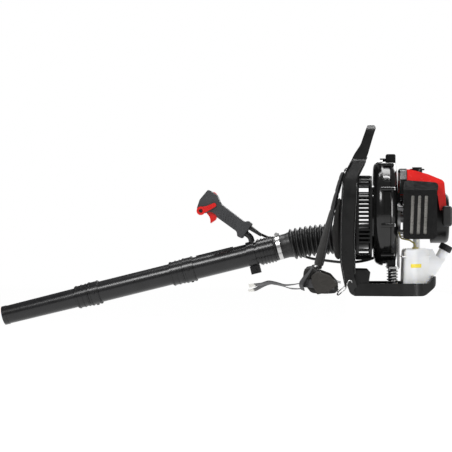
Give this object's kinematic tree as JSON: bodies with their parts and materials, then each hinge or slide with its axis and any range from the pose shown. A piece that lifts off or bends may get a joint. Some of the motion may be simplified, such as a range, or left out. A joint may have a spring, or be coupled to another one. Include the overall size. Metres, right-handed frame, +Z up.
{
  "type": "backpack leaf blower",
  "caption": "Petrol backpack leaf blower with carrying frame and harness, fan volute, shrouded two-stroke engine, fuel tank, bellows, sectioned air pipe and throttle handle.",
  "frame": {"origin": "middle of the flat underside of the backpack frame's base", "axes": "+Z up, -X the way the wearer faces and the pipe points, +Y the wearer's right, where the pipe is"},
  "size_m": [1.4057, 0.4499, 0.6126],
  "materials": {
    "black_moulding": "moulded black polypropylene with a fine grain",
    "gloss_black": "glossy black moulded plastic",
    "red_moulding": "glossy red moulded plastic",
    "grip_grey": "dark grey textured plastic",
    "tank_plastic": "translucent white polyethylene",
    "cast_alloy": "die-cast aluminium",
    "muffler_steel": "pressed steel",
    "zinc_steel": "bright zinc-plated steel",
    "bearing_steel": "ground steel",
    "black_rubber": "black rubber",
    "clear_rubber": "soft amber rubber",
    "fuel_hose": "amber fuel hose",
    "filter_foam": "grey filter foam",
    "cord_fabric": "braided cord",
    "black_fabric": "black woven nylon over foam"
  },
  "bodies": {
    "root": {"back_frame": "black_moulding", "intake_guard": "black_moulding", "volute_front": "gloss_black", "volute_rear": "gloss_black", "volute_screws": "zinc_steel", "crankcase_front": "cast_alloy", "crankcase_rear": "cast_alloy", "crank_bearings": "bearing_steel", "piston_pins": "bearing_steel", "connecting_rod": "bearing_steel", "piston": "cast_alloy", "cylinder": "cast_alloy", "spark_plug": "zinc_steel", "plug_lead": "black_rubber", "ignition_coil": "black_moulding", "muffler": "muffler_steel", "muffler_guard": "gloss_black", "engine_cover": "red_moulding", "carburetor": "cast_alloy", "air_cleaner_case": "black_moulding", "air_filter": "filter_foam", "air_cleaner_cover": "black_moulding", "starter_housing": "black_moulding", "starter_rope": "cord_fabric", "fuel_tank": "tank_plastic", "fuel_line": "fuel_hose", "engine_bracket": "zinc_steel", "av_springs": "zinc_steel", "av_rubbers": "black_rubber", "throttle_cable": "black_rubber", "back_pad": "black_fabric", "shoulder_straps": "black_fabric", "strap_webbing": "black_fabric", "strap_hardware": "black_moulding", "hip_pads": "black_fabric"},
    "crank": {"crankshaft": "bearing_steel", "fan": "gloss_black", "flywheel": "cast_alloy", "starter_cup": "zinc_steel"},
    "starter_rotor": {"starter_pulley": "black_moulding"},
    "starter_handle": {"starter_grip": "black_rubber"},
    "tank_cap": {"fuel_cap": "black_moulding"},
    "plug_access": {"access_cap": "black_moulding"},
    "choke": {"choke_lever": "black_moulding"},
    "primer": {"primer_bulb": "clear_rubber"},
    "filter_knob": {"air_cleaner_knob": "black_moulding"},
    "elbow": {"outlet_elbow": "black_moulding", "bellows": "black_rubber"},
    "hose_end": {"hose_clamp": "zinc_steel", "swivel_collar": "gloss_black"},
    "pipe": {"pipe_upper": "gloss_black", "handle_clamp": "gloss_black", "grip_left": "grip_grey", "grip_right": "grip_grey", "handle_screws": "zinc_steel"},
    "pipe_mid": {"pipe_middle": "gloss_black"},
    "nozzle_end": {"nozzle": "gloss_black"},
    "throttle": {"trigger": "red_moulding"},
    "cruise": {"cruise_lever": "red_moulding"},
    "kill_switch": {"stop_switch": "red_moulding"}
  },
  "joints": [
    {"name": "crank_spin", "type": "hinge", "parent": "root", "child": "crank", "pos_m": [0.066, 0, 0.229], "axis": [1, 0, 0], "continuous": true},
    {"name": "starter_pull", "type": "slide", "parent": "root", "child": "starter_handle", "axis": [0, -0.98, -0.1992], "range_m": [0, 0.7], "stiffness_N_per_m": 15, "springref_m": -0.1, "deforming": ["starter_rope"]},
    {"name": "pulley_spin", "type": "hinge", "parent": "root", "child": "starter_rotor", "pos_m": [0.154, 0, 0.229], "axis": [1, 0, 0], "range_deg": [0, 1830]},
    {"name": "fuel_cap_turn", "type": "hinge", "parent": "root", "child": "tank_cap", "pos_m": [0.15196, -0.066, 0.13252], "axis": [0.4695, 0, 0.8829], "range_deg": [0, 540]},
    {"name": "access_cap_turn", "type": "hinge", "parent": "root", "child": "plug_access", "pos_m": [0.076, 0, 0.371], "axis": [0, 0, 1], "range_deg": [0, 90]},
    {"name": "choke_turn", "type": "hinge", "parent": "root", "child": "choke", "pos_m": [0.1144, 0.108, 0.27], "axis": [1, 0, 0], "range_deg": [-35, 0]},
    {"name": "primer_press", "type": "slide", "parent": "root", "child": "primer", "axis": [0, 0, 1], "range_m": [0, 0.006], "stiffness_N_per_m": 600, "deforming": ["primer_bulb"]},
    {"name": "filter_knob_turn", "type": "hinge", "parent": "root", "child": "filter_knob", "pos_m": [0.069, 0.14, 0.304], "axis": [0, 1, 0], "range_deg": [0, 1080]},
    {"name": "elbow_swivel", "type": "hinge", "parent": "root", "child": "elbow", "pos_m": [-0.02, 0.168, 0.22], "axis": [0, 0, 1], "range_deg": [-20, 1], "deforming": ["throttle_cable"]},
    {"name": "tube_lift", "type": "hinge", "parent": "elbow", "child": "hose_end", "pos_m": [-0.2165, 0.204, 0.1595], "axis": [0.09, 0.9959, 0], "range_deg": [-12, 35], "deforming": ["bellows", "throttle_cable"]},
    {"name": "pipe_twist", "type": "hinge", "parent": "hose_end", "child": "pipe", "pos_m": [-0.39224, 0.21657, 0.12638], "axis": [-0.9694, 0.0508, -0.2402], "range_deg": [-40, 40], "deforming": ["throttle_cable"]},
    {"name": "middle_lock", "type": "hinge", "parent": "pipe", "child": "pipe_mid", "pos_m": [-0.63459, 0.22927, 0.06632], "axis": [-0.9694, 0.0508, -0.2402], "range_deg": [0, 25]},
    {"name": "nozzle_lock", "type": "hinge", "parent": "pipe_mid", "child": "nozzle_end", "pos_m": [-0.9351, 0.24502, -0.00815], "axis": [-0.9694, 0.0508, -0.2402], "range_deg": [0, 25]},
    {"name": "trigger_pull", "type": "hinge", "parent": "pipe", "child": "throttle", "pos_m": [-0.56056, 0.22539, 0.25839], "axis": [-0.0523, -0.9986, 0], "range_deg": [0, 12], "stiffness_Nm_per_rad": 0.6, "springref_deg": -20.05},
    {"name": "cruise_turn", "type": "hinge", "parent": "pipe", "child": "cruise", "pos_m": [-0.58772, 0.20679, 0.25353], "axis": [0.0523, 0.9986, 0], "range_deg": [0, 35]},
    {"name": "stop_slide", "type": "slide", "parent": "pipe", "child": "kill_switch", "axis": [-0.8079, 0.0423, 0.5878], "range_m": [0, 0.005]}
  ],
  "couplings": [
    {"joint": "pulley_spin", "follows": "starter_pull", "rad_per_m": 45.455}
  ]
}
